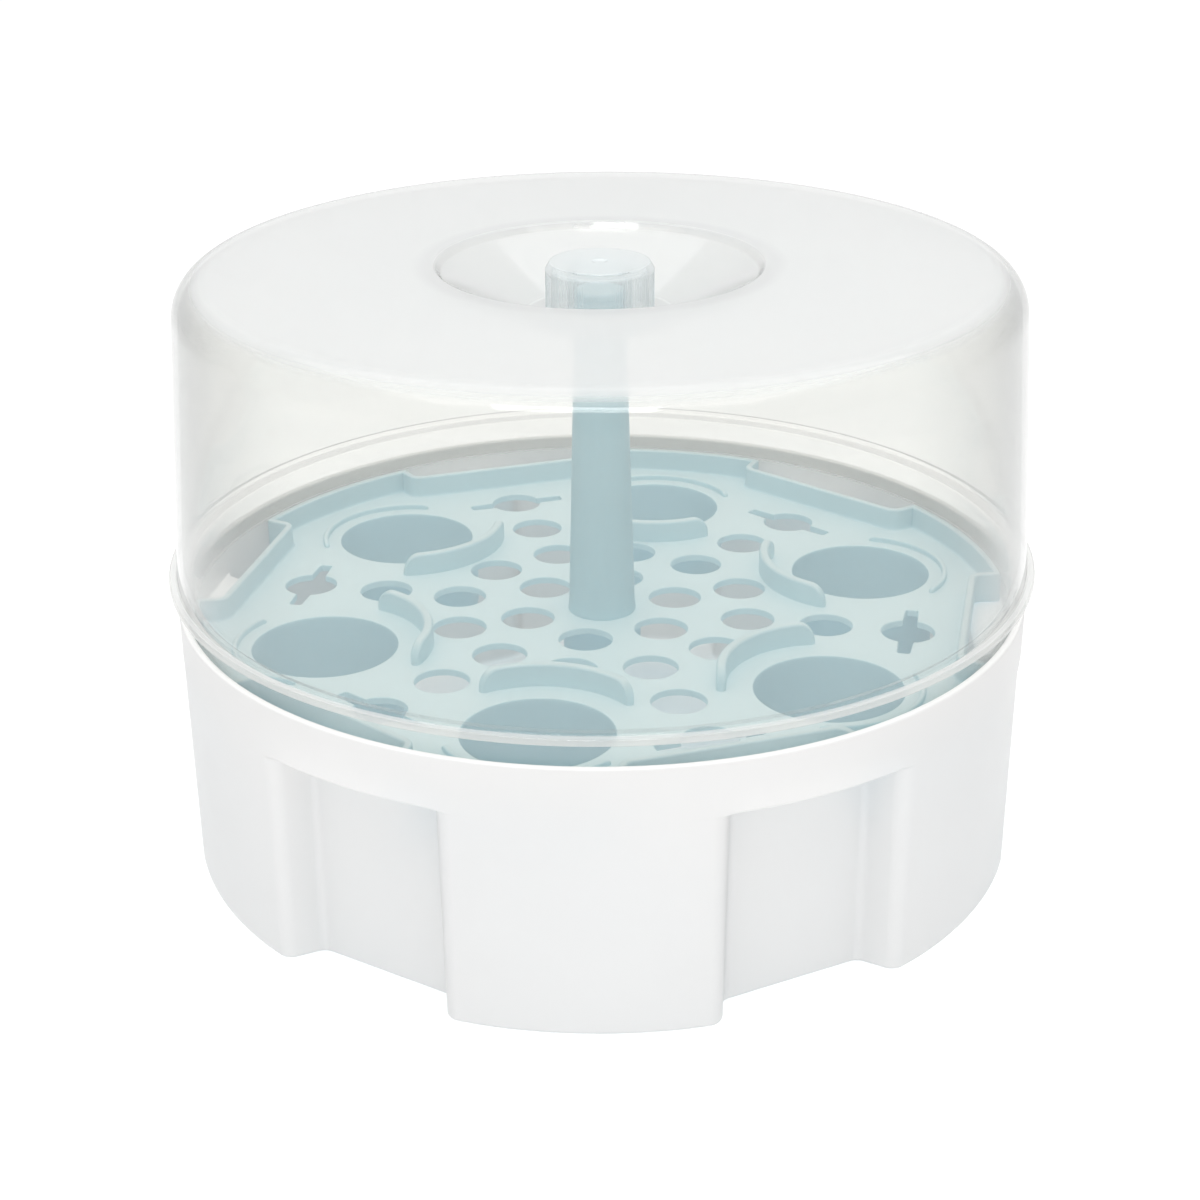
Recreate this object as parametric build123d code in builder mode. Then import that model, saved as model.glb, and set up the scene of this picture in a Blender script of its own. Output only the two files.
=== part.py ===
from build123d import *
import math
import os

os.makedirs("parts", exist_ok=True)

# Microwave steam steriliser for six baby bottles.
# Millimetres, +Z up, floor at Z = 0, every moulding concentric with the Z axis.

# ---------------------------------------------------------------- driving sizes
base_r_rim = 141.2       # outer radius of the bowl at its rim, which sets the size of everything round it
base_lean = 0.765        # degrees that the wall of the bowl leans out
base_h = 89.9            # floor to the rim of the bowl
base_wall = 2.6          # moulded wall of the bowl
base_foot_round = 1.4    # rounding round the bottom edge
base_rim_round = 0.9     # rounding of the rim
recess_count = 6         # hand holds round the bowl
recess_depth = 14.5      # cylinder to the flat panel of a hand hold, at the floor
recess_panel_half = 24.2 # half width of the flat panel
recess_side_lean = 0.62  # widening of a hand hold per millimetre of depth
mouth_set = 4.6          # how far inside the cylinder the mouth of a hand hold opens out
rim_band = 17.8          # roof of a hand hold to the rim
lobe_round = 5.0         # vertical corners between hand hold and cylinder
panel_round = 4.0        # vertical corners at the sides of the flat panel

socket_count = 6
socket_r = 23.86         # bore of a bottle socket
skirt_wall = 2.0         # wall of the tube under a socket
skirt_depth = 25.0       # tube, measured down from the top of the plate
plate_t = 2.5            # tray plate
tray_wall = 2.5          # wall standing round the tray
tray_wall_h = 7.9        # its height above the plate
tray_corner_out = 1.6    # rounding of the tray's outward corners
tray_corner_in = 3.0     # rounding of its inward corners
chord_depth = 13.6       # how far a straight side of the tray cuts into its circle
chord_half_angle = 15.2  # half the angle that a straight side takes up
tray_turn = -9.2         # straight sides of the tray against the hand holds

steam_r = 8.85           # steam holes
steam_step = 26.3        # second ring of steam holes to the third
keyhole_inset = 20.0     # straight side of the tray to the centre of a keyhole
keyhole_slot_l = 35.0    # cross slot of a keyhole
keyhole_slot_w = 4.2
guard_clear = 8.54       # socket to the arc wall on its inner side
guard_t = 3.2
guard_h = 7.6
guard_half = 43.0        # half the angle of the arc wall
bead_clear = 4.64        # socket to the low bead on its outer side
bead_t = 1.8
bead_h = 1.9
bead_half = 58.0         # half the angle of the bead

post_waist_r = 11.1      # column just above its foot
post_foot_flare = 0.3    # how much wider its foot is
post_neck_r = 8.4        # column where it meets the lid
post_wall = 2.0
post_end_h = 7.6         # end of the column above the floor of the lid's hollow
post_spigot_l = 12.0     # part of the column that is held under the plate

lid_h = 107.7            # rim of the bowl to the flat top of the lid
lid_t = 2.0              # wall of the lid
lid_draft = 3.53         # degrees that the wall leans in
lid_shoulder = 14.0      # rounding between wall and top
flange_out = 2.3         # flange of the lid beyond the rim of the bowl
flange_up = 8.1          # rim of the bowl to the flange
flange_t = 2.4
dish_r = 52.7            # round hollow in the top
dish_step = 2.4          # upright edge of the hollow
dish_depth = 16.0        # deepest part of the hollow
dish_floor_clear = 6.5   # knob to the edge of the hollow's flat floor

knob_r = 17.5
knob_stand = 0.6         # top of the knob above the top of the lid
knob_bevel_h = 2.3
knob_bevel_w = 1.4
knob_wall = 1.8
dimple_r = 2.6
dimple_depth = 0.45
flute_count = 96
flute_r = 0.42

# ---------------------------------------------------------------- clearances
seat_gap = 0.2           # pieces that rest on each other
tray_gap = 1.4           # edge of the tray in the bowl
skirt_gap = 1.34         # tube of a socket beside the back of a hand hold
lid_gap = 0.6            # skirt of the lid in the bowl
post_gap = 0.8           # column in the hole of the lid
thread_gap = 0.3         # end of the column in the sleeve of the knob
spigot_gap = 0.1         # spigot of the column in its boss
hole_land = 1.25         # plate left between an arc wall and the nearest steam hole
foot_land = 6.05         # plate left between the column and the nearest steam hole

# ---------------------------------------------------------------- derived radii
base_r_floor = base_r_rim - base_h * math.tan(math.radians(base_lean))
recess_face = base_r_floor - recess_depth
tray_r = base_r_rim - base_wall - tray_gap
chord_face = tray_r - chord_depth
socket_ring = recess_face - base_wall - skirt_gap - skirt_wall - socket_r
guard_r = socket_r + guard_clear + guard_t / 2
bead_r = socket_r + bead_clear + bead_t / 2
keyhole_ring = chord_face - keyhole_inset
post_foot_r = post_waist_r + post_foot_flare
steam_ring_1 = post_foot_r + foot_land + steam_r
steam_ring_2 = socket_ring - guard_r - guard_t / 2 - hole_land - steam_r
steam_ring_3 = steam_ring_2 + steam_step
socket_first = tray_turn + 180 / socket_count
steam_rings = ((steam_ring_1, 6, 0.0), (steam_ring_2, 12, 0.0), (steam_ring_3, 6, 30.0))
skirt_lid_r = base_r_rim - base_wall - lid_gap
lid_r_low = base_r_rim - 0.4
flange_r = base_r_rim + flange_out
post_end_r = post_neck_r - 0.2
lid_hole_r = post_neck_r + post_gap
sleeve_r = post_end_r + thread_gap
boss_r = post_waist_r + 2.0
post_spigot_r = post_waist_r - 1.9
dish_floor_r = knob_r + dish_floor_clear

# ---------------------------------------------------------------- derived levels
recess_h = base_h - rim_band
shelf_z = recess_h + base_wall
plate_bottom = shelf_z + seat_gap
plate_top = plate_bottom + plate_t
tray_wall_top = plate_top + tray_wall_h
skirt_bottom = plate_top - skirt_depth
lid_bottom = tray_wall_top + seat_gap
flange_z = base_h + flange_up
flange_top = flange_z + flange_t
lid_top = base_h + lid_h
dish_floor = lid_top - dish_depth
post_top = dish_floor + post_end_h
spigot_bottom = plate_bottom - post_spigot_l
knob_bottom = dish_floor + seat_gap
knob_top = lid_top + knob_stand
knob_band_top = knob_top - knob_bevel_h - 0.6
knob_ceiling = knob_top - 1.3 * knob_wall


def cylinder_r(z):
    """Outer radius of the bowl at height z."""
    return base_r_floor + (base_r_rim - base_r_floor) * z / base_h


def hand_holds(spread):
    """Hand holds seen from above; spread moves their outline that far into the bowl."""
    mouth_x = base_r_floor - mouth_set
    mouth_y = recess_panel_half + recess_side_lean * (mouth_x - recess_face)
    far_x = mouth_x + 20
    far_y = mouth_y + 15
    corners = [(recess_face, recess_panel_half), (mouth_x, mouth_y), (mouth_x, far_y), (far_x, far_y)]
    mirrored = [(x, -y) for x, y in reversed(corners)]
    with BuildSketch(mode=Mode.PRIVATE) as one:
        with BuildLine():
            Polyline(*corners, *mirrored, close=True)
        make_face()
        fillet(one.vertices().filter_by(lambda v: v.X < recess_face + 0.1), panel_round)
        mouths = one.vertices().filter_by(lambda v: v.X < mouth_x + 0.1 and abs(v.Y) < mouth_y + 0.1)
        fillet(mouths.sort_by(Axis.X)[-2:], lobe_round)
        if spread > 0:
            offset(amount=spread, kind=Kind.ARC, mode=Mode.REPLACE)
    with BuildSketch(mode=Mode.PRIVATE) as ring:
        with PolarLocations(0, recess_count):
            add(one.sketch)
    return ring.sketch


def chord_points(face):
    """Straight side of the tray seen from above, face away from the axis."""
    reach = tray_r + 10
    slope = math.tan(math.radians(chord_half_angle))
    return [(face, -face * slope), (reach, -reach * slope), (reach, reach * slope), (face, face * slope)]


def turned(points, angle):
    """Points turned about the Z axis."""
    c = math.cos(math.radians(angle))
    s = math.sin(math.radians(angle))
    return [(x * c - y * s, x * s + y * c) for x, y in points]


def tray_outline():
    """Tray seen from above: a disc with straight sides cut into it and rounded corners."""
    cut = chord_points(chord_face)
    with BuildSketch() as sk:
        Circle(tray_r)
        for i in range(socket_count):
            with BuildLine():
                Polyline(*turned(cut, tray_turn + i * 360 / socket_count), close=True)
            make_face(mode=Mode.SUBTRACT)
        outer = sk.vertices().filter_by(lambda v: math.hypot(v.X, v.Y) > tray_r - 0.5)
        fillet(outer, tray_corner_out)
        inner = sk.vertices().filter_by(lambda v: math.hypot(v.X, v.Y) < math.hypot(*cut[0]) + 0.3)
        fillet(inner, tray_corner_in)
    return sk.sketch


def beside_sockets(radius, middle, half, thickness):
    """Bent bars round every socket; middle is 0 on the socket's outer side and 180 on its inner side."""
    with BuildSketch() as sk:
        for i in range(socket_count):
            a = socket_first + i * 360 / socket_count
            x = socket_ring * math.cos(math.radians(a))
            y = socket_ring * math.sin(math.radians(a))
            with Locations((x, y)):
                SlotArc(CenterArc((0, 0), radius, a + middle - half, 2 * half), thickness)
    return sk.sketch


def lid_r(z):
    """Outer radius of the lid's wall at height z."""
    return lid_r_low - (z - flange_top) * math.tan(math.radians(lid_draft))


# ================================================================ bowl
with BuildPart() as base_bowl:
    # outside: a slim cone
    with BuildSketch(Plane.XZ):
        with BuildLine():
            Polyline((0, 0), (base_r_floor, 0), (base_r_rim, base_h), (0, base_h), close=True)
        make_face()
    revolve(axis=Axis.Z)
    # hollow, one wall smaller; it leaves the backs and roofs of the hand holds standing
    with BuildSketch(Plane.XZ):
        with BuildLine():
            Polyline((0, base_wall), (cylinder_r(base_wall) - base_wall, base_wall),
                     (cylinder_r(base_h + 1) - base_wall, base_h + 1), (0, base_h + 1), close=True)
        make_face()
    hollow = revolve(axis=Axis.Z, mode=Mode.PRIVATE)
    with BuildSketch():
        add(hand_holds(base_wall))
    backs = extrude(amount=shelf_z, mode=Mode.PRIVATE)
    add(hollow - backs, mode=Mode.SUBTRACT)
    # hand holds
    with BuildSketch():
        add(hand_holds(0))
    extrude(amount=recess_h, mode=Mode.SUBTRACT)
    foot = base_bowl.faces().sort_by(Axis.Z)[0].edges()
    fillet(foot, base_foot_round)
    rim = base_bowl.faces().filter_by(Axis.Z).sort_by(Axis.Z)[-1].edges()
    fillet(rim, base_rim_round)
base_bowl.part.label = "base_bowl"
export_step(base_bowl.part, "parts/base_bowl.step")

# ================================================================ tray
tray_plan = tray_outline()
inner_plan = offset(tray_plan, -tray_wall, kind=Kind.ARC)

with BuildPart() as bottle_tray:
    # plate and the wall that stands round it
    with BuildSketch(Plane.XY.offset(plate_bottom)):
        add(tray_plan)
    extrude(amount=tray_wall_top - plate_bottom)
    with BuildSketch(Plane.XY.offset(plate_top)):
        add(inner_plan)
    extrude(amount=tray_wall_h, mode=Mode.SUBTRACT)
    corners = bottle_tray.faces().filter_by(Axis.Z).sort_by(Axis.Z)[-1].edges()
    fillet(corners, 0.6)
    # tubes under the sockets and the boss that holds the column
    with BuildSketch(Plane.XY.offset(skirt_bottom)):
        with PolarLocations(socket_ring, socket_count, start_angle=socket_first):
            Circle(socket_r + skirt_wall)
    extrude(amount=skirt_depth - plate_t)
    with BuildSketch(Plane.XY.offset(spigot_bottom)):
        Circle(boss_r)
    extrude(amount=post_spigot_l)
    # bottle guards: tall arc on the side of the axis, low bead on the outer side
    with BuildSketch(Plane.XY.offset(plate_top)):
        add(beside_sockets(guard_r, 180, guard_half, guard_t))
    extrude(amount=guard_h)
    guards = bottle_tray.faces().filter_by(Axis.Z).filter_by_position(
        Axis.Z, plate_top + guard_h - 0.01, plate_top + guard_h + 0.01)
    fillet(guards.edges(), 0.8)
    with BuildSketch(Plane.XY.offset(plate_top)):
        add(beside_sockets(bead_r, 0, bead_half, bead_t))
    extrude(amount=bead_h)
    # sockets, steam holes and keyholes
    with BuildSketch(Plane.XY.offset(tray_wall_top + 1)):
        with PolarLocations(socket_ring, socket_count, start_angle=socket_first):
            Circle(socket_r)
        for ring, count, shift in steam_rings:
            with PolarLocations(ring, count, start_angle=socket_first + shift):
                Circle(steam_r)
        with PolarLocations(keyhole_ring, socket_count, start_angle=tray_turn):
            Circle(steam_r)
            Rectangle(keyhole_slot_w, keyhole_slot_l)
        Circle(post_spigot_r + spigot_gap)
    extrude(amount=-(tray_wall_h + skirt_depth + 2), mode=Mode.SUBTRACT)
    mouths = bottle_tray.edges().filter_by(GeomType.CIRCLE).filter_by_position(
        Axis.Z, plate_top - 0.01, plate_top + 0.01)
    rims = mouths.filter_by(lambda e: abs(e.radius - socket_r) < 0.01 or abs(e.radius - steam_r) < 0.01)
    fillet(rims, 0.5)
bottle_tray.part.label = "bottle_tray"
export_step(bottle_tray.part, "parts/bottle_tray.step")

# ================================================================ column
with BuildPart() as centre_post:
    with BuildSketch(Plane.XZ):
        with BuildLine():
            Polyline((0, spigot_bottom), (post_spigot_r, spigot_bottom), (post_spigot_r, plate_top),
                     (post_foot_r, plate_top), (post_foot_r, plate_top + 0.8),
                     (post_waist_r, plate_top + 3.5), (post_neck_r, dish_floor - lid_t),
                     (post_end_r, dish_floor + 0.5),
                     (post_end_r, post_top - 1.2), (post_end_r - 1.2, post_top), (0, post_top), close=True)
        make_face()
    revolve(axis=Axis.Z)
    # hollow from below
    with BuildSketch(Plane.XZ):
        with BuildLine():
            Polyline((0, spigot_bottom - 1), (post_spigot_r - post_wall, spigot_bottom - 1),
                     (post_spigot_r - post_wall, plate_top + 4),
                     (post_neck_r - post_wall, dish_floor - lid_t),
                     (post_neck_r - post_wall, post_top - 2 * post_wall), (0, post_top - 2 * post_wall),
                     close=True)
        make_face()
    revolve(axis=Axis.Z, mode=Mode.SUBTRACT)
centre_post.part.label = "centre_post"
export_step(centre_post.part, "parts/centre_post.step")

# ================================================================ lid
with BuildPart() as lid_dome:
    # outside of wall and top
    with BuildSketch(Plane.XZ):
        with BuildLine():
            Polyline((0, lid_bottom), (skirt_lid_r, lid_bottom), (skirt_lid_r, flange_z),
                     (flange_r, flange_z), (flange_r, flange_top), (lid_r(flange_top), flange_top),
                     (lid_r(lid_top), lid_top), (0, lid_top), close=True)
        make_face()
    revolve(axis=Axis.Z)
    edge = lid_dome.edges().filter_by(GeomType.CIRCLE).sort_by(Axis.Z)[-1]
    fillet(edge, lid_shoulder)
    brim = lid_dome.edges().filter_by(GeomType.CIRCLE).filter_by(lambda e: abs(e.radius - flange_r) < 0.01)
    fillet(brim, 1.0)
    # round hollow in the top
    with BuildSketch(Plane.XZ):
        with BuildLine():
            Polyline((0, lid_top + 1), (dish_r, lid_top + 1), (dish_r, lid_top),
                     (dish_r - 0.8, lid_top - dish_step), (dish_floor_r, dish_floor), (0, dish_floor),
                     close=True)
        make_face()
    revolve(axis=Axis.Z, mode=Mode.SUBTRACT)
    # inside, one wall smaller
    with BuildSketch(Plane.XZ):
        with BuildLine():
            Polyline((0, lid_bottom - 1), (skirt_lid_r - lid_t, lid_bottom - 1),
                     (skirt_lid_r - lid_t, flange_z + 0.6), (lid_r(flange_top + 1) - lid_t, flange_top + 1),
                     (lid_r(lid_top) - lid_t, lid_top - lid_t), (dish_r + lid_t, lid_top - lid_t),
                     (dish_r + lid_t - 0.8, lid_top - dish_step - lid_t),
                     (dish_floor_r + 0.4, dish_floor - lid_t), (0, dish_floor - lid_t), close=True)
        make_face()
    hollow = revolve(axis=Axis.Z, mode=Mode.PRIVATE)
    ceiling = hollow.edges().filter_by(GeomType.CIRCLE).filter_by(
        lambda e: abs(e.radius - (lid_r(lid_top) - lid_t)) < 0.05)
    add(hollow.fillet(lid_shoulder - lid_t, ceiling), mode=Mode.SUBTRACT)
    # hole for the column
    with Locations((0, 0, dish_floor)):
        Cylinder(lid_hole_r, 4 * lid_t, mode=Mode.SUBTRACT)
lid_dome.part.label = "lid_dome"
export_step(lid_dome.part, "parts/lid_dome.step")

# ================================================================ knob
with BuildPart() as screw_knob:
    # fluted body
    with BuildSketch(Plane.XY.offset(knob_bottom)):
        Circle(knob_r)
        with PolarLocations(knob_r, flute_count):
            Circle(flute_r, mode=Mode.SUBTRACT)
    extrude(amount=knob_band_top - knob_bottom)
    # bevelled cap
    with BuildSketch(Plane.XZ):
        with BuildLine():
            Polyline((0, knob_band_top), (knob_r, knob_band_top),
                     (knob_r, knob_top - knob_bevel_h), (knob_r - knob_bevel_w, knob_top), (0, knob_top),
                     close=True)
        make_face()
    revolve(axis=Axis.Z)
    # room between the outer wall and the sleeve, and the bore of the sleeve
    with BuildSketch(Plane.XY.offset(knob_bottom)):
        Circle(knob_r - knob_wall)
        Circle(sleeve_r + knob_wall, mode=Mode.SUBTRACT)
        Circle(sleeve_r)
    extrude(amount=knob_ceiling - knob_bottom, mode=Mode.SUBTRACT)
    # dimple in the middle of the top
    with Locations((0, 0, knob_top)):
        Cone(dimple_r - 1.6, dimple_r, dimple_depth, align=(Align.CENTER, Align.CENTER, Align.MAX),
             mode=Mode.SUBTRACT)
screw_knob.part.label = "screw_knob"
export_step(screw_knob.part, "parts/screw_knob.step")
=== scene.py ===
import math

import bmesh
import bpy
from mathutils import Euler, Matrix, Vector


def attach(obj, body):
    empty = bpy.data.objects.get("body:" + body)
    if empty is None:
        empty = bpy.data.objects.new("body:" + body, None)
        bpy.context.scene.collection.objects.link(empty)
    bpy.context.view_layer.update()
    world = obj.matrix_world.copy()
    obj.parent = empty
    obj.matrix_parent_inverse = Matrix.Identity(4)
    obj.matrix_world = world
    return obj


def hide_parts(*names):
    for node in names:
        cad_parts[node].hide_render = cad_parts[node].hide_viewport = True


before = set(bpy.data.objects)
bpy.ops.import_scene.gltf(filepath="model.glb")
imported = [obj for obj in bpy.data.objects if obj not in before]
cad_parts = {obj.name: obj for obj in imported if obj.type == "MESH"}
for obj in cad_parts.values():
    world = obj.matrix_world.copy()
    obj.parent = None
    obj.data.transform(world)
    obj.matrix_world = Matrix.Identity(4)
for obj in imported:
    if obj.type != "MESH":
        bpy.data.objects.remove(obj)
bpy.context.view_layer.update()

# ---------------------------------------------------------------------------
# Sizes, in millimetres and degrees. Z is the middle of every piece, and the bowl stands on Z = 0.
# ---------------------------------------------------------------------------
MM = 0.001

# bowl
BOWL_H = 89.9
BOWL_R_FLOOR = 140.0
BOWL_R_RIM = 141.2
BOWL_WALL = 2.6
HOLDS = 6                 # hand holds round the bowl
HOLD_FACE = 125.5         # axis to the flat panel at the floor
HOLD_PANEL_HALF = 24.2
HOLD_MOUTH_HALF = 33.2
HOLD_H = 72.1
LOBE_ROUND = 5.0
PANEL_ROUND = 4.0
ROOF_UNDER = 5.5          # how far the rounded roof of a hand hold reaches below its height, outside
ROOF_OVER = 1.3           # and above it
ROOF_UNDER_INSIDE = 2.2
ROOF_OVER_INSIDE = 4.0
RIM_ROUND = 0.9
FOOT_ROUND = 1.4
FOOT_ROUND_INSIDE = 2.2
BOWL_LEAN = (BOWL_R_RIM - BOWL_R_FLOOR) / BOWL_H

# tray
TRAY_BOTTOM = 74.9
PLATE_T = 2.5
PLATE_TOP = TRAY_BOTTOM + PLATE_T
TRAY_R = 137.2
TRAY_WALL = 2.5
TRAY_WALL_H = 7.9
CHORD_FACE = 123.6
CHORD_HALF_ANGLE = 15.2
TRAY_TURN = -9.2
PLATE_ROUND = 0.45
JOG_OUT = 1.6             # corners where the arcs of the outline turn in
JOG_IN = 3.0              # and where they meet the straight sides
WALL_TOP_ROUND = 0.8
WALL_COVE = 1.1
SOCKETS = 6
SOCKET_RING = 95.7
SOCKET_R = 23.86
SKIRT_WALL = 2.0
SKIRT_DEPTH = 25.0
STEAM_R = 8.85
STEAM_RINGS = ((26.3, 6, 0.0), (50.0, 12, 0.0), (76.3, 6, 30.0))
CROSS_RING = 103.6
CROSS_L = 35.0
CROSS_W = 4.2
GUARD_R = 34.0
GUARD_T = 3.2
GUARD_H = 7.6
GUARD_HALF = 45.6
GUARD_RUN_OUT = 6.0
GUARD_SOFT = 1.0
BEAD_R = 29.4
BEAD_T = 1.8
BEAD_H = 1.9
BEAD_HALF = 59.6
BEAD_RUN_OUT = 3.0
BEAD_SOFT = 0.7
ROOT = 1.4                # how far walls on the plate start below its top
BOSS_WALL = 2.0

# column
POST_FOOT_R = 11.4
POST_WAIST_R = 11.1
POST_NECK_R = 8.4
POST_WALL = 2.0
SPIGOT_R = 9.2
SPIGOT_L = 12.0
THREAD_PITCH = 2.4
THREAD_DEPTH = 0.45

# lid
LID_TOP = 197.9
LID_T = 2.0
LID_R_LOW = 140.8
LID_DRAFT = 3.25
LID_SHOULDER = 11.8
FLANGE_R = 143.5
FLANGE_Z = 98.0
FLANGE_T = 2.4
LID_SKIRT_R = 138.0
DISH_R = 52.7
DISH_STEP = 2.4
DISH_DEPTH = 16.3
DISH_FLOOR_R = 24.0
LID_HOLE_R = 9.2

# knob
KNOB_R = 17.5
KNOB_TOP = 198.2
KNOB_BEVEL_H = 2.3
KNOB_BEVEL_W = 1.4
KNOB_WALL = 1.8
FLUTES = 96
FLUTE_DEPTH = 0.4

TRAY_WALL_TOP = PLATE_TOP + TRAY_WALL_H
LID_BOTTOM = TRAY_WALL_TOP + 0.2
DISH_FLOOR = LID_TOP - DISH_DEPTH
POST_TOP = DISH_FLOOR + 7.6
POST_END_R = POST_NECK_R - 0.2
SLEEVE_R = POST_END_R + 0.3


# ---------------------------------------------------------------------------
# Shape helpers
# ---------------------------------------------------------------------------
def rounded(corners, closed=True, steps=5):
    """Points of a polygon whose corners (x, y, radius) are rounded by arcs."""
    out = []
    n = len(corners)
    for i, (x, y, radius) in enumerate(corners):
        here = Vector((x, y))
        end = not closed and i in (0, n - 1)
        if radius <= 0 or end:
            out.append((x, y))
            continue
        before = (Vector(corners[i - 1][:2]) - here).normalized()
        after = (Vector(corners[(i + 1) % n][:2]) - here).normalized()
        half = before.angle(after) / 2
        if half > math.radians(88):
            out.append((x, y))
            continue
        centre = here + (before + after).normalized() * radius / math.sin(half)
        start = here + before * radius / math.tan(half)
        stop = here + after * radius / math.tan(half)
        a = math.atan2(*(start - centre).yx)
        b = math.atan2(*(stop - centre).yx)
        turn = (b - a + math.pi) % (2 * math.pi) - math.pi
        for k in range(steps + 1):
            angle = a + turn * k / steps
            out.append((centre.x + radius * math.cos(angle),
                        centre.y + radius * math.sin(angle)))
    return out


def polar(radius, degrees):
    return radius * math.cos(math.radians(degrees)), radius * math.sin(math.radians(degrees))


def turned(points, degrees):
    c = math.cos(math.radians(degrees))
    s = math.sin(math.radians(degrees))
    return [(p[0] * c - p[1] * s, p[0] * s + p[1] * c, *p[2:]) for p in points]


def finish_mesh(name, bm, sharp=34.0):
    """Turns a bmesh in millimetres into an object in metres with sharp edges marked."""
    bmesh.ops.remove_doubles(bm, verts=bm.verts, dist=0.0005)
    bmesh.ops.recalc_face_normals(bm, faces=bm.faces)
    bmesh.ops.scale(bm, vec=(MM, MM, MM), verts=bm.verts)
    limit = math.radians(sharp)
    for edge in bm.edges:
        edge.smooth = len(edge.link_faces) == 2 and edge.calc_face_angle(0.0) < limit
    for face in bm.faces:
        face.smooth = True
    mesh = bpy.data.meshes.new(name)
    bm.to_mesh(mesh)
    bm.free()
    obj = bpy.data.objects.new(name, mesh)
    bpy.context.scene.collection.objects.link(obj)
    return obj


def weighted(obj):
    mod = obj.modifiers.new("even_shading", "WEIGHTED_NORMAL")
    mod.keep_sharp = True
    mod.weight = 60
    return obj


def grid_faces(bm, rows, closed_rows=False):
    """Quads between rows of vertices; each row is a ring."""
    pairs = list(zip(rows, rows[1:]))
    if closed_rows:
        pairs.append((rows[-1], rows[0]))
    for low, high in pairs:
        n = len(low)
        for i in range(n):
            j = (i + 1) % n
            quad = [low[i], low[j], high[j], high[i]]
            if len(set(quad)) == 4:
                bm.faces.new(quad)


def lathe(bm, profile, count, closed=False, radius_at=None):
    """Spins a profile of (r, z) points; ends on the axis are closed by a fan."""
    rows = []
    poles = []
    for k, (r, z) in enumerate(profile):
        if r < 1e-6:
            poles.append((k, bm.verts.new((0, 0, z))))
            rows.append(None)
            continue
        ring = []
        for i in range(count):
            a = 2 * math.pi * i / count
            radius = radius_at(r, z, a) if radius_at else r
            ring.append(bm.verts.new((radius * math.cos(a), radius * math.sin(a), z)))
        rows.append(ring)
    solid = [row for row in rows if row]
    grid_faces(bm, solid, closed)
    for k, pole in poles:
        ring = rows[1] if k == 0 else rows[k - 1]
        for i in range(count):
            bm.faces.new((ring[i], ring[(i + 1) % count], pole))


def outward(points):
    """Unit normals of a closed anticlockwise outline."""
    n = len(points)
    out = []
    for i in range(n):
        a = Vector(points[i - 1])
        b = Vector(points[i])
        c = Vector(points[(i + 1) % n])
        t = (b - a).normalized() + (c - b).normalized()
        t.normalize()
        out.append(Vector((t.y, -t.x)))
    return out


def sweep(bm, outline, section):
    """Carries a closed section of (offset, z) points round an outline."""
    normals = outward(outline)
    rows = [[bm.verts.new((p[0] + m.x * d, p[1] + m.y * d, z)) for p, m in zip(outline, normals)]
            for d, z in section]
    grid_faces(bm, rows, True)


def slab(bm, outlines, z0, z1, bevel):
    """Flat plate between z0 and z1 with holes and rounded edges."""
    curve = bpy.data.curves.new("slab", "CURVE")
    curve.dimensions = "2D"
    curve.fill_mode = "BOTH"
    curve.extrude = (z1 - z0) / 2 - bevel
    curve.bevel_depth = bevel
    curve.bevel_resolution = 3
    curve.offset = -bevel
    for points in outlines:
        spline = curve.splines.new("POLY")
        spline.points.add(len(points) - 1)
        for dot, (x, y) in zip(spline.points, points):
            dot.co = (x, y, 0, 1)
        spline.use_cyclic_u = True
    holder = bpy.data.objects.new("slab", curve)
    bpy.context.scene.collection.objects.link(holder)
    bpy.context.view_layer.update()
    graph = bpy.context.evaluated_depsgraph_get()
    mesh = bpy.data.meshes.new_from_object(holder.evaluated_get(graph))
    bpy.data.objects.remove(holder)
    bpy.data.curves.remove(curve)
    for vert in mesh.vertices:
        vert.co.z += (z0 + z1) / 2
    bm.from_mesh(mesh)
    bpy.data.meshes.remove(mesh)


def circle(radius, centre=(0, 0), count=48):
    return [(centre[0] + radius * math.cos(2 * math.pi * i / count),
             centre[1] + radius * math.sin(2 * math.pi * i / count)) for i in range(count)]


def bent_bar(bm, radius, middle, half, width, z0, height, run_out, soft, centre):
    """Wall bent round a centre; its top runs down to the plate at both ends."""
    steps = 56
    length = math.radians(half) * radius
    rows = []
    for i in range(steps + 1):
        t = -math.cos(math.pi * i / steps)
        angle = middle + half * t
        left = length * (1 - abs(t)) + 0.02
        rise = height * math.sqrt(1 - (1 - min(1.0, left / run_out)) ** 2)
        wide = width / 2 * math.sqrt(1 - (1 - min(1.0, left / (width / 2))) ** 2)
        top = z0 + ROOT + rise
        edge = min(soft, rise / 2, wide * 0.9)
        section = [(-wide, z0)]
        section += [(-wide + edge * (1 - math.cos(a)), top - edge * (1 - math.sin(a)))
                    for a in (math.pi / 2 * k / 4 for k in range(5))]
        section += [(wide - edge * (1 - math.cos(a)), top - edge * (1 - math.sin(a)))
                    for a in (math.pi / 2 * k / 4 for k in range(4, -1, -1))]
        section.append((wide, z0))
        ring = []
        for u, z in section:
            x, y = polar(radius + u, angle)
            ring.append(bm.verts.new((centre[0] + x, centre[1] + y, z)))
        rows.append(ring)
    grid_faces(bm, rows)
    bm.faces.new(rows[0])
    bm.faces.new(rows[-1])


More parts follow.
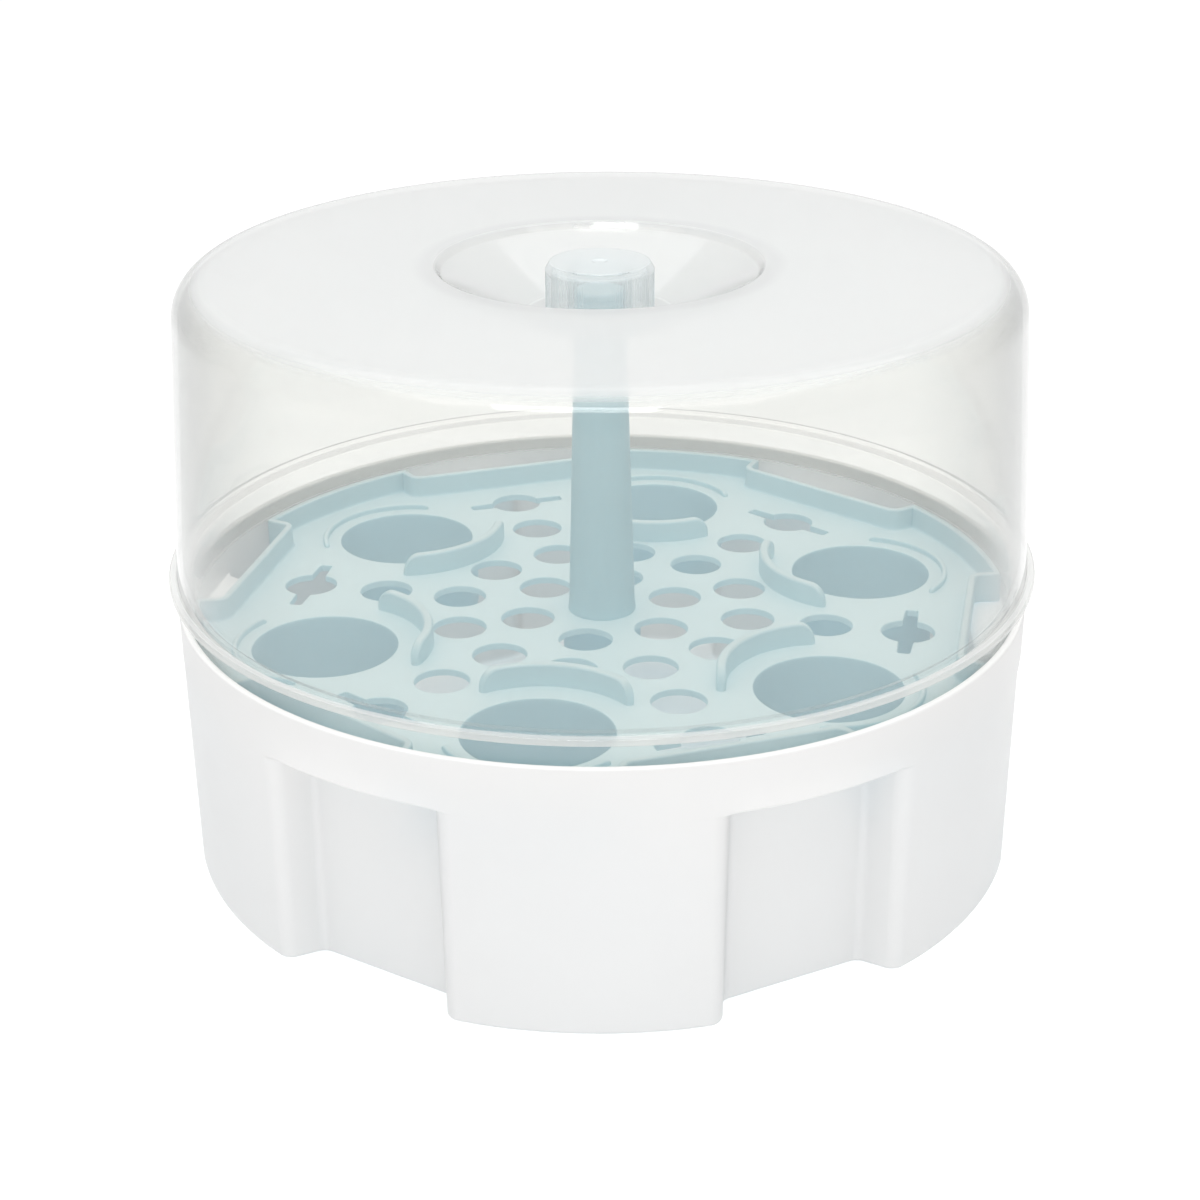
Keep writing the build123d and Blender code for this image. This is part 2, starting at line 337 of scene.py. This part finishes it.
# ---------------------------------------------------------------------------
# Bowl
# ---------------------------------------------------------------------------
def bowl_outline():
    """Outline of the bowl at the floor: lobes with flat hand holds between them."""
    lean = (HOLD_MOUTH_HALF - HOLD_PANEL_HALF) / (BOWL_R_FLOOR - HOLD_FACE)
    # where the side wall of a hand hold meets the cylinder
    a = 1 + lean * lean
    b = 2 * lean * (HOLD_PANEL_HALF - lean * HOLD_FACE)
    c = (HOLD_PANEL_HALF - lean * HOLD_FACE) ** 2 - BOWL_R_FLOOR ** 2
    mouth_x = (-b + math.sqrt(b * b - 4 * a * c)) / (2 * a)
    mouth_y = HOLD_PANEL_HALF + lean * (mouth_x - HOLD_FACE)
    mouth = math.degrees(math.atan2(mouth_y, mouth_x))
    pitch = 360 / HOLDS
    clear = 4.2
    corners = []
    for i in range(HOLDS):
        part = [(mouth_x, -mouth_y, LOBE_ROUND), (HOLD_FACE, -HOLD_PANEL_HALF, PANEL_ROUND)]
        part += [(HOLD_FACE, HOLD_PANEL_HALF * k / 8, 0) for k in range(-6, 7)]
        part += [(HOLD_FACE, HOLD_PANEL_HALF, PANEL_ROUND), (mouth_x, mouth_y, LOBE_ROUND)]
        first = mouth + clear
        last = pitch - mouth - clear
        steps = 24
        part += [(*polar(BOWL_R_FLOOR, first + (last - first) * k / steps), 0)
                 for k in range(steps + 1)]
        corners += turned(part, i * pitch)
    return rounded(corners, steps=7)


def bowl_rows(bm, outline, normals, skin, floor_z, roof_z, low_round):
    """One skin of the bowl, floor edge to rim: skin is its depth under the outer one."""
    def low(z):
        shift = BOWL_LEAN * z - skin
        return [Vector(p) + m * shift for p, m in zip(outline, normals)]

    def high(z):
        radius = BOWL_R_FLOOR + BOWL_LEAN * z - skin
        return [Vector(p).normalized() * radius for p in outline]

    def ring(points, z):
        return [bm.verts.new((p.x, p.y, z)) for p in points]

    rows = []
    # rounding at the floor
    for k in range(5):
        a = math.pi / 2 * k / 4
        inset = low_round * (1 - math.sin(a))
        z = floor_z + low_round * (1 - math.cos(a))
        shift = BOWL_LEAN * z - skin - inset
        rows.append(ring([Vector(p) + m * shift for p, m in zip(outline, normals)], z))
    # side of the lobes and panels
    under = ROOF_UNDER if skin == 0 else ROOF_UNDER_INSIDE
    over = ROOF_OVER if skin == 0 else ROOF_OVER_INSIDE
    side_top = roof_z - under
    for k in range(1, 7):
        z = floor_z + low_round + (side_top - floor_z - low_round) * k / 6
        rows.append(ring(low(z), z))
    # roof of the hand holds, which runs out to nothing on the lobes
    for k in range(1, 21):
        t = k / 20
        if t <= 0.45:
            a = math.pi / 2 * t / 0.45
            share = 0.42 * (1 - math.cos(a))
            z = side_top + under * 0.9 * math.sin(a)
        elif t <= 0.65:
            s = (t - 0.45) / 0.2
            share = 0.42 + 0.48 * s
            z = side_top + under * (0.9 + 0.1 * s)
        else:
            a = math.pi / 2 * (t - 0.65) / 0.35
            share = 0.9 + 0.1 * math.sin(a)
            z = roof_z + over * (1 - math.cos(a))
        points = [p.lerp(q, share) for p, q in zip(low(z), high(z))]
        rows.append(ring(points, z))
    # plain band under the rim
    band = roof_z + over
    for k in range(1, 4):
        z = band + (BOWL_H - RIM_ROUND - band) * k / 3
        rows.append(ring(high(z), z))
    # rounding at the rim
    side = -1 if skin == 0 else 1
    for k in range(1, 5):
        a = math.pi / 2 * k / 4
        z = BOWL_H - RIM_ROUND * (1 - math.sin(a))
        shift = side * RIM_ROUND * (1 - math.cos(a))
        radius = BOWL_R_FLOOR + BOWL_LEAN * z - skin + shift
        rows.append(ring([Vector(p).normalized() * radius for p in outline], z))
    return rows


def cap(bm, row, z):
    """Closes a ring with smaller rings and a fan."""
    rows = [row]
    for s in (0.9, 0.6, 0.3):
        rows.append([bm.verts.new((v.co.x * s, v.co.y * s, z)) for v in row])
    grid_faces(bm, rows)
    pole = bm.verts.new((0, 0, z))
    last = rows[-1]
    for i in range(len(last)):
        bm.faces.new((last[i], last[(i + 1) % len(last)], pole))


def make_bowl():
    bm = bmesh.new()
    outline = bowl_outline()
    normals = outward(outline)
    outer = bowl_rows(bm, outline, normals, 0, 0, HOLD_H, FOOT_ROUND)
    inner = bowl_rows(bm, outline, normals, BOWL_WALL, BOWL_WALL, HOLD_H + BOWL_WALL, FOOT_ROUND_INSIDE)
    grid_faces(bm, outer)
    grid_faces(bm, inner)
    grid_faces(bm, [outer[-1], inner[-1]])
    cap(bm, outer[0], 0)
    cap(bm, inner[0], BOWL_WALL)
    return weighted(finish_mesh("bowl", bm, 40))


# ---------------------------------------------------------------------------
# Tray
# ---------------------------------------------------------------------------
def tray_outline():
    """Outline of the tray, arcs and straight sides in turn."""
    half = CHORD_FACE * math.tan(math.radians(CHORD_HALF_ANGLE))
    pitch = 360 / SOCKETS
    corners = []
    for i in range(SOCKETS):
        clear = 2.4
        x, y = polar(TRAY_R, CHORD_HALF_ANGLE)
        part = [(x, -y, JOG_OUT), (CHORD_FACE, -half, JOG_IN)]
        part += [(CHORD_FACE, half * k / 4, 0) for k in range(-2, 3)]
        part += [(CHORD_FACE, half, JOG_IN), (x, y, JOG_OUT)]
        first = CHORD_HALF_ANGLE + clear
        last = pitch - CHORD_HALF_ANGLE - clear
        steps = 22
        part += [(*polar(TRAY_R, first + (last - first) * k / steps), 0) for k in range(steps + 1)]
        corners += turned(part, TRAY_TURN + i * pitch)
    return rounded(corners, steps=6)


def cross_outline(angle):
    """Keyhole: a round hole with a narrow slot across it."""
    half = CROSS_W / 2
    bite = math.degrees(math.asin(half / STEAM_R))
    points = []
    for base in (90, 270):
        side = 1 if base == 90 else -1
        end = CROSS_L / 2 - 0.8
        tip = [(half * side, end), (half * side - 0.5 * side, CROSS_L / 2),
               (-half * side + 0.5 * side, CROSS_L / 2), (-half * side, end)]
        points += [(x, y * side) for x, y in tip]
        first = base + bite + 2
        last = base + 180 - bite - 2
        points += [polar(STEAM_R, first + (last - first) * k / 18) for k in range(19)]
    return turned([(x + CROSS_RING, y) for x, y in points], angle)


def make_tray():
    bm = bmesh.new()
    first = TRAY_TURN + 180 / SOCKETS
    pitch = 360 / SOCKETS
    holes = []
    for i in range(SOCKETS):
        holes.append(circle(SOCKET_R, polar(SOCKET_RING, first + i * pitch), 96))
        holes.append(cross_outline(TRAY_TURN + i * pitch))
    for ring, count, shift in STEAM_RINGS:
        for i in range(count):
            holes.append(circle(STEAM_R, polar(ring, first + shift + i * 360 / count), 56))
    edge = tray_outline()
    slab(bm, [edge] + holes, TRAY_BOTTOM, PLATE_TOP, PLATE_ROUND)
    # standing wall, with a small cove at its foot
    wall = rounded([(-0.05, TRAY_BOTTOM + 0.5, 0), (0, TRAY_WALL_TOP, WALL_TOP_ROUND),
                    (-TRAY_WALL, TRAY_WALL_TOP, WALL_TOP_ROUND),
                    (-TRAY_WALL - 0.15, PLATE_TOP - 0.1, WALL_COVE),
                    (-TRAY_WALL - 1.6, PLATE_TOP - 0.1, 0),
                    (-TRAY_WALL - 1.6, TRAY_BOTTOM + 0.5, 0)], steps=4)
    sweep(bm, edge, wall)
    for i in range(SOCKETS):
        angle = first + i * pitch
        centre = polar(SOCKET_RING, angle)
        # tube under the socket
        outer = circle(SOCKET_R + SKIRT_WALL, centre, 96)
        slope = rounded([(0, PLATE_TOP - 1.2, 0), (-0.3, PLATE_TOP - SKIRT_DEPTH, 0.5),
                         (-SKIRT_WALL + 0.2, PLATE_TOP - SKIRT_DEPTH, 0.5),
                         (-SKIRT_WALL + 0.02, PLATE_TOP - 1.2, 0)], steps=3)
        sweep(bm, outer, slope)
        bent_bar(bm, GUARD_R, angle + 180, GUARD_HALF, GUARD_T, PLATE_TOP - ROOT, GUARD_H,
                 GUARD_RUN_OUT, GUARD_SOFT, centre)
        bent_bar(bm, BEAD_R, angle, BEAD_HALF, BEAD_T, PLATE_TOP - ROOT, BEAD_H,
                 BEAD_RUN_OUT, BEAD_SOFT, centre)
    # boss that holds the column
    boss_r = POST_WAIST_R + BOSS_WALL
    bore = SPIGOT_R + 0.1
    boss = [(bore, TRAY_BOTTOM + 0.5), (boss_r, TRAY_BOTTOM + 0.5),
            (boss_r, TRAY_BOTTOM - SPIGOT_L), (bore, TRAY_BOTTOM - SPIGOT_L)]
    lathe(bm, boss, 64, closed=True)
    return weighted(finish_mesh("tray", bm, 40))


# ---------------------------------------------------------------------------
# Column, lid and knob
# ---------------------------------------------------------------------------
def make_post():
    bm = bmesh.new()
    low = TRAY_BOTTOM - SPIGOT_L
    ceiling = POST_TOP - 2 * POST_WALL
    neck_bore = POST_NECK_R - POST_WALL
    spigot_bore = SPIGOT_R - POST_WALL
    outline = rounded([(0, ceiling, 0), (neck_bore, ceiling, 0.8), (neck_bore, DISH_FLOOR - LID_T, 0),
                       (spigot_bore, PLATE_TOP + 4, 0), (spigot_bore, low, 0.4),
                       (SPIGOT_R, low, 0.6), (SPIGOT_R, PLATE_TOP, 0),
                       (POST_FOOT_R, PLATE_TOP, 0.25), (POST_FOOT_R - 0.05, PLATE_TOP + 1.0, 0.5),
                       (POST_WAIST_R, PLATE_TOP + 3.5, 3.0), (POST_NECK_R, DISH_FLOOR - LID_T, 2.0),
                       (POST_END_R, DISH_FLOOR + 0.5, 0.3)], closed=False, steps=4)
    # shallow thread ridges on the end
    turns = []
    root = POST_END_R - THREAD_DEPTH
    z = DISH_FLOOR + 1.2
    while z + THREAD_PITCH < POST_TOP - 1.2:
        turns += [(POST_END_R, z), (root, z + 0.5), (root, z + 1.4), (POST_END_R, z + 1.9)]
        z += THREAD_PITCH
    tip = rounded([(POST_END_R, POST_TOP - 2, 0), (POST_END_R, POST_TOP, 1.2), (0, POST_TOP, 0)],
                  closed=False, steps=5)
    lathe(bm, outline + turns + tip[1:], 128)
    return weighted(finish_mesh("column", bm, 40))


def lid_radius(z):
    return LID_R_LOW - (z - FLANGE_Z - FLANGE_T) * math.tan(math.radians(LID_DRAFT))


def make_lid():
    bm = bmesh.new()
    flange_top = FLANGE_Z + FLANGE_T
    inner_skirt = LID_SKIRT_R - LID_T
    profile = rounded([
        (LID_HOLE_R, DISH_FLOOR, 0.4), (DISH_FLOOR_R, DISH_FLOOR, 4.0),
        (DISH_R - 1.9, LID_TOP - DISH_STEP, 2.2), (DISH_R, LID_TOP, 1.3),
        (lid_radius(LID_TOP), LID_TOP, LID_SHOULDER), (lid_radius(flange_top), flange_top, 0.9),
        (FLANGE_R, flange_top, 0.9), (FLANGE_R, FLANGE_Z, 0.9), (LID_SKIRT_R, FLANGE_Z, 0.5),
        (LID_SKIRT_R, LID_BOTTOM, 0.6), (inner_skirt, LID_BOTTOM, 0.6),
        (inner_skirt, FLANGE_Z + 0.6, 1.0),
        (lid_radius(flange_top + 1) - LID_T, flange_top + 1, 1.0),
        (lid_radius(LID_TOP) - LID_T, LID_TOP - LID_T, LID_SHOULDER - LID_T),
        (DISH_R + LID_T - 0.4, LID_TOP - LID_T, 1.2),
        (DISH_R + LID_T - 2.2, LID_TOP - DISH_STEP - LID_T, 1.8),
        (DISH_FLOOR_R + 0.4, DISH_FLOOR - LID_T, 4.0), (LID_HOLE_R, DISH_FLOOR - LID_T, 0.4)], steps=9)
    lathe(bm, profile, 320, closed=True)
    return weighted(finish_mesh("lid", bm, 50))


def make_knob():
    bm = bmesh.new()
    low = DISH_FLOOR + 0.2
    band = KNOB_TOP - KNOB_BEVEL_H - 0.7
    ceiling = KNOB_TOP - 1.3 * KNOB_WALL
    inside = KNOB_R - KNOB_WALL
    sleeve_out = SLEEVE_R + KNOB_WALL

    def fluted(r, z, a):
        if r < KNOB_R - 0.7 or z > band:
            return r
        return r - FLUTE_DEPTH * (0.5 - 0.5 * math.cos(a * FLUTES)) ** 0.6

    profile = rounded([
        (0, KNOB_TOP - 0.45, 0), (1.6, KNOB_TOP - 0.45, 0.6), (2.6, KNOB_TOP, 0.6),
        (KNOB_R - KNOB_BEVEL_W, KNOB_TOP, 0.5), (KNOB_R, KNOB_TOP - KNOB_BEVEL_H, 0.4),
        (KNOB_R, band + 0.02, 0), (KNOB_R, band - 0.5, 0), (KNOB_R, (low + band) / 2, 0),
        (KNOB_R, low + 0.5, 0), (KNOB_R - 0.5, low, 0),
        (inside, low, 0.2), (inside - 0.1, ceiling, 1.0),
        (sleeve_out + 0.1, ceiling, 1.0), (sleeve_out, low, 0.2), (SLEEVE_R, low, 0.2),
        (SLEEVE_R, ceiling, 0.6), (0, ceiling, 0)], closed=False, steps=4)
    lathe(bm, profile, FLUTES * 8, radius_at=fluted)
    return weighted(finish_mesh("knob", bm, 50))


# ---------------------------------------------------------------------------
# Materials
# ---------------------------------------------------------------------------
class Graph:
    """Small helper for building a node tree."""

    def __init__(self, name):
        self.mat = bpy.data.materials.new(name)
        self.mat.use_nodes = True
        self.tree = self.mat.node_tree
        self.tree.nodes.clear()
        self.out = self.add("ShaderNodeOutputMaterial")
        where = self.add("ShaderNodeTexCoord")
        self.coords = where.outputs["Object"]
        self.normal = where.outputs["Normal"]

    def add(self, kind, sockets=None, **settings):
        """Adds a node; sockets gives its inputs, each a value or another node's output."""
        node = self.tree.nodes.new(kind)
        for key, value in settings.items():
            setattr(node, key, value)
        for key, value in (sockets or {}).items():
            self.put(node.inputs[key], value)
        return node

    def put(self, socket, value):
        if isinstance(value, bpy.types.NodeSocket):
            self.tree.links.new(value, socket)
        else:
            socket.default_value = value

    def maths(self, operation, *values):
        return self.add("ShaderNodeMath", dict(enumerate(values)), operation=operation).outputs[0]

    def blend(self, share, first, second):
        """Mix of two shaders."""
        return self.add("ShaderNodeMixShader", {0: share, 1: first, 2: second}).outputs[0]

    def mix(self, share, first, second, how="MIX"):
        """Mix of two colours."""
        return self.add("ShaderNodeMix", {"Factor": share, 6: first, 7: second},
                        data_type="RGBA", blend_type=how).outputs[2]

    def noise(self, scale, detail, rough):
        return self.add("ShaderNodeTexNoise", {"Vector": self.coords, "Scale": scale, "Detail": detail,
                                               "Roughness": rough}).outputs["Fac"]

    def ramp(self, factor, stops):
        node = self.add("ShaderNodeValToRGB", {"Fac": factor})
        ramp = node.color_ramp
        while len(ramp.elements) < len(stops):
            ramp.elements.new(0.5)
        for element, (place, colour) in zip(ramp.elements, stops):
            element.position = place
            element.color = (*colour, 1) if isinstance(colour, tuple) else (colour, colour, colour, 1)
        return node.outputs["Color"]

    def bump(self, height, strength, distance):
        return self.add("ShaderNodeBump", {"Strength": strength, "Distance": distance,
                                           "Height": height}).outputs["Normal"]

    def facing(self):
        """0 where a face is seen head on, 1 where it is seen at a flat angle."""
        return self.add("ShaderNodeLayerWeight", {"Blend": 0.5}).outputs["Facing"]

    def up(self):
        """How far a face looks up, from -1 to 1."""
        return self.add("ShaderNodeSeparateXYZ", {0: self.normal}).outputs["Z"]


def lamps_pass(g, shader, share, tint):
    """Lets part of the lamps' light on through a thin wall, so that what is behind it isn't black."""
    shadow_ray = g.add("ShaderNodeLightPath").outputs["Is Shadow Ray"]
    onward = g.add("ShaderNodeBsdfTransparent", {"Color": (*tint, 1)}).outputs[0]
    g.put(g.out.inputs["Surface"], g.blend(g.maths("MULTIPLY", shadow_ray, share), shader, onward))


PLASTIC_IOR = 1.49


def moulded(name, dark, light, top, rough, glow, let_through, lamp_share, turned_away_painted_shade):
    """Injection-moulded plastic: faint flow marks, fine skin and a soft sheen, with a painted sheen on
    faces that look up and painted shade where faces turn away; thin walls glow.
    """
    g = Graph(name)
    sides = g.ramp(g.noise(9.0, 4.0, 0.6), ((0.3, dark), (0.7, light)))
    # faces that look up are paler: a painted sheen, the overhead light's reflection put into the colour
    colour = g.mix(g.ramp(g.up(), ((0.5, 0.0), (0.95, 1.0))), sides, (*top, 1))
    # painted shade: a little darker where it turns away
    shade = g.ramp(g.facing(), ((0.15, 1.0), (0.9, turned_away_painted_shade)))
    colour = g.mix(1.0, colour, shade, "MULTIPLY")
    shine = g.ramp(g.noise(38.0, 2.0, 0.5), ((0.3, rough - 0.04), (0.7, rough + 0.05)))
    face = g.bump(g.noise(1400.0, 2.0, 0.6), 0.08, 0.0002)
    body = g.add("ShaderNodeBsdfPrincipled", {"Base Color": colour, "Roughness": shine,
                                              "IOR": PLASTIC_IOR, "Normal": face}).outputs[0]
    thin = g.add("ShaderNodeBsdfTranslucent", {"Color": (*glow, 1), "Normal": face}).outputs[0]
    lamps_pass(g, g.blend(let_through, body, thin), lamp_share, glow)
    return g.mat


def clear(name, tint, grazing_reflection_stops, level_reflection_stops, milk, gloss_rough, middle_veil, middle_r):
    """Clear plastic with a haze, strongest on level faces and where it is seen at a flat angle; the
    white there is partly the plastic's own cloudiness and partly painted reflection of the overhead
    light and the surroundings.
    """
    g = Graph(name)
    facing = g.facing()
    # the veils on level faces and at flat angles are partly haze, partly painted reflection: white laid
    # on where the plastic would mirror the light
    grazing_haze_and_painted_reflection = g.ramp(facing, grazing_reflection_stops)
    level_haze_and_painted_reflection = g.ramp(g.maths("ABSOLUTE", g.up()), level_reflection_stops)
    # the middle of the piece is cloudy whichever way it faces
    flat = g.add("ShaderNodeVectorMath", {0: g.coords, 1: (1, 1, 0)}, operation="MULTIPLY").outputs[0]
    reach = g.add("ShaderNodeVectorMath", {0: flat}, operation="LENGTH").outputs["Value"]
    near = g.add("ShaderNodeMapRange", {"Value": reach, "From Min": middle_r, "To Min": middle_veil,
                                        "From Max": middle_r + 0.004, "To Max": 0.0}).outputs[0]
    # the haze and painted reflection cover less where the plastic is looked straight through
    cloud_and_painted_reflection = g.maths("MULTIPLY", g.maths("MAXIMUM", level_haze_and_painted_reflection, near),
                   g.ramp(facing, ((0.02, 0.45), (0.25, 1.0))))
    haze_and_painted_reflection = g.maths("MAXIMUM", grazing_haze_and_painted_reflection, cloud_and_painted_reflection)
    # more of the light is lost where the way through the wall is longer
    darker = tuple(c * 0.9 for c in tint)
    passed = g.ramp(facing, ((0.35, tint), (0.9, darker)))
    through = g.add("ShaderNodeBsdfTransparent", {"Color": passed}).outputs[0]
    # the haze itself, with painted shade that makes it duller in the middle
    brighter = tuple(min(1, c * 1.02) for c in milk)
    haze = g.ramp(g.noise(6.0, 2.0, 0.5), ((0.3, milk), (0.7, brighter)))
    haze = g.mix(near, haze, (0.88, 0.88, 0.885, 1), "MULTIPLY")
    front = g.add("ShaderNodeBsdfDiffuse", {"Color": haze}).outputs[0]
    back = g.add("ShaderNodeBsdfTranslucent", {"Color": haze}).outputs[0]
    body = g.blend(haze_and_painted_reflection, through, g.blend(0.4, front, back))
    gloss = g.add("ShaderNodeBsdfGlossy", {"Roughness": gloss_rough}).outputs[0]
    # share of light mirrored, from 4 % head on to all of it at a flat angle
    mirrored = g.maths("MULTIPLY_ADD", g.maths("POWER", facing, 5.0), 0.96, 0.04)
    lamps_pass(g, g.blend(mirrored, body, gloss), 1.0, (0.985, 0.985, 0.98))
    return g.mat


def plain_floor():
    g = Graph("floor_paper")
    grain = g.ramp(g.noise(300.0, 2.0, 0.5), ((0.3, 0.93), (0.7, 0.95)))
    body = g.add("ShaderNodeBsdfPrincipled", {"Base Color": grain, "Roughness": 0.9})
    g.put(g.out.inputs["Surface"], body.outputs["BSDF"])
    return g.mat


# top is a painted sheen colour for faces that look up, and the last setting is the painted shade where
# faces turn away
WHITE = moulded("white_plastic", dark=(0.752, 0.747, 0.744), light=(0.772, 0.767, 0.764),
                top=(0.95, 0.945, 0.94), rough=0.34, glow=(0.98, 0.975, 0.97),
                let_through=0.22, lamp_share=0.95, turned_away_painted_shade=0.83)
TEAL = moulded("teal_plastic", dark=(0.515, 0.69, 0.725), light=(0.54, 0.715, 0.75),
               top=(0.63, 0.72, 0.715), rough=0.33, glow=(0.82, 0.93, 0.98),
               let_through=0.30, lamp_share=0.97, turned_away_painted_shade=0.95)
POST = moulded("teal_column", dark=(0.463, 0.655, 0.704), light=(0.483, 0.676, 0.724),
               top=(0.60, 0.70, 0.71), rough=0.33, glow=(0.78, 0.93, 0.98),
               let_through=0.25, lamp_share=0.9, turned_away_painted_shade=0.9)
# the two sets of stops give the haze, partly painted reflection, at flat angles and on level faces
LID = clear("clear_lid", tint=(0.932, 0.931, 0.920),
            grazing_reflection_stops=((0.0, 0.08), (0.45, 0.09), (0.62, 0.12), (0.74, 0.22), (0.9, 0.45)),
            level_reflection_stops=((0.66, 0.0), (0.84, 0.25), (0.98, 0.6)),
            milk=(0.74, 0.74, 0.74), gloss_rough=0.045, middle_veil=0.50, middle_r=0.0565)
KNOB = clear("clear_knob", tint=(0.965, 0.972, 0.972),
             grazing_reflection_stops=((0.0, 0.22), (0.45, 0.27), (0.7, 0.38), (0.9, 0.55)),
             level_reflection_stops=((0.4, 0.0), (0.9, 0.42)),
             milk=(0.82, 0.85, 0.855), gloss_rough=0.07, middle_veil=0.1, middle_r=0.012)


# ---------------------------------------------------------------------------
# Pieces
# ---------------------------------------------------------------------------
def place(obj, body, node, slot, material):
    obj.data.materials.append(material)
    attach(obj, body)
    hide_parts(node)


place(make_bowl(), "bowl", "base_bowl", "white_plastic", WHITE)
place(make_tray(), "tray", "bottle_tray", "teal_plastic", TEAL)
place(make_post(), "tray", "centre_post", "teal_plastic", POST)
place(make_lid(), "lid", "lid_dome", "clear_plastic", LID)
place(make_knob(), "knob", "screw_knob", "clear_plastic", KNOB)


# ---------------------------------------------------------------------------
# Floor, light and camera, in metres
# ---------------------------------------------------------------------------
FLOOR_R = 6.0

disc = bmesh.new()
bmesh.ops.create_circle(disc, cap_ends=True, segments=96, radius=FLOOR_R)
floor_mesh = bpy.data.meshes.new("floor")
disc.to_mesh(floor_mesh)
disc.free()
floor = bpy.data.objects.new("floor", floor_mesh)
bpy.context.scene.collection.objects.link(floor)
floor_mesh.materials.append(plain_floor())


def soft_box(name, where, aim, width, height, power):
    lamp = bpy.data.lights.new(name, "AREA")
    lamp.shape = "RECTANGLE"
    lamp.size = width
    lamp.size_y = height
    lamp.energy = power
    obj = bpy.data.objects.new(name, lamp)
    bpy.context.scene.collection.objects.link(obj)
    obj.location = where
    obj.rotation_euler = (Vector(aim) - Vector(where)).to_track_quat("-Z", "Y").to_euler()


soft_box("over", (0, 0.1, 1.3), (0, 0, 0.1), 1.6, 1.6, 10)
soft_box("front", (-0.1, -0.85, 1.75), (0, -0.1, 0.15), 1.0, 0.24, 7)
world = bpy.data.worlds.new("studio")
world.use_nodes = True
backdrop = world.node_tree.nodes["Background"]
backdrop.inputs["Color"].default_value = (1, 1, 1, 1)
backdrop.inputs["Strength"].default_value = 1.0
bpy.context.scene.world = world
bpy.context.scene.view_settings.view_transform = "Standard"
bpy.context.scene.cycles.transparent_max_bounces = 24

camera_data = bpy.data.cameras.new("camera")
camera_data.lens = 68.29
camera_data.sensor_width = 36
camera_data.shift_x = -0.0017
camera = bpy.data.objects.new("camera", camera_data)
bpy.context.scene.collection.objects.link(camera)
VIEW_TURN = 2.7
VIEW_PITCH = 23.71
VIEW_ROLL = -0.4
VIEW_DISTANCE = 0.708
VIEW_HEIGHT = 0.391
turn = math.radians(VIEW_TURN)
camera.location = (VIEW_DISTANCE * math.sin(turn), -VIEW_DISTANCE * math.cos(turn), VIEW_HEIGHT)
level = Euler((math.radians(90 - VIEW_PITCH), 0, turn)).to_matrix()
camera.rotation_euler = (level @ Matrix.Rotation(math.radians(VIEW_ROLL), 3, "Z")).to_euler()
bpy.context.scene.camera = camera
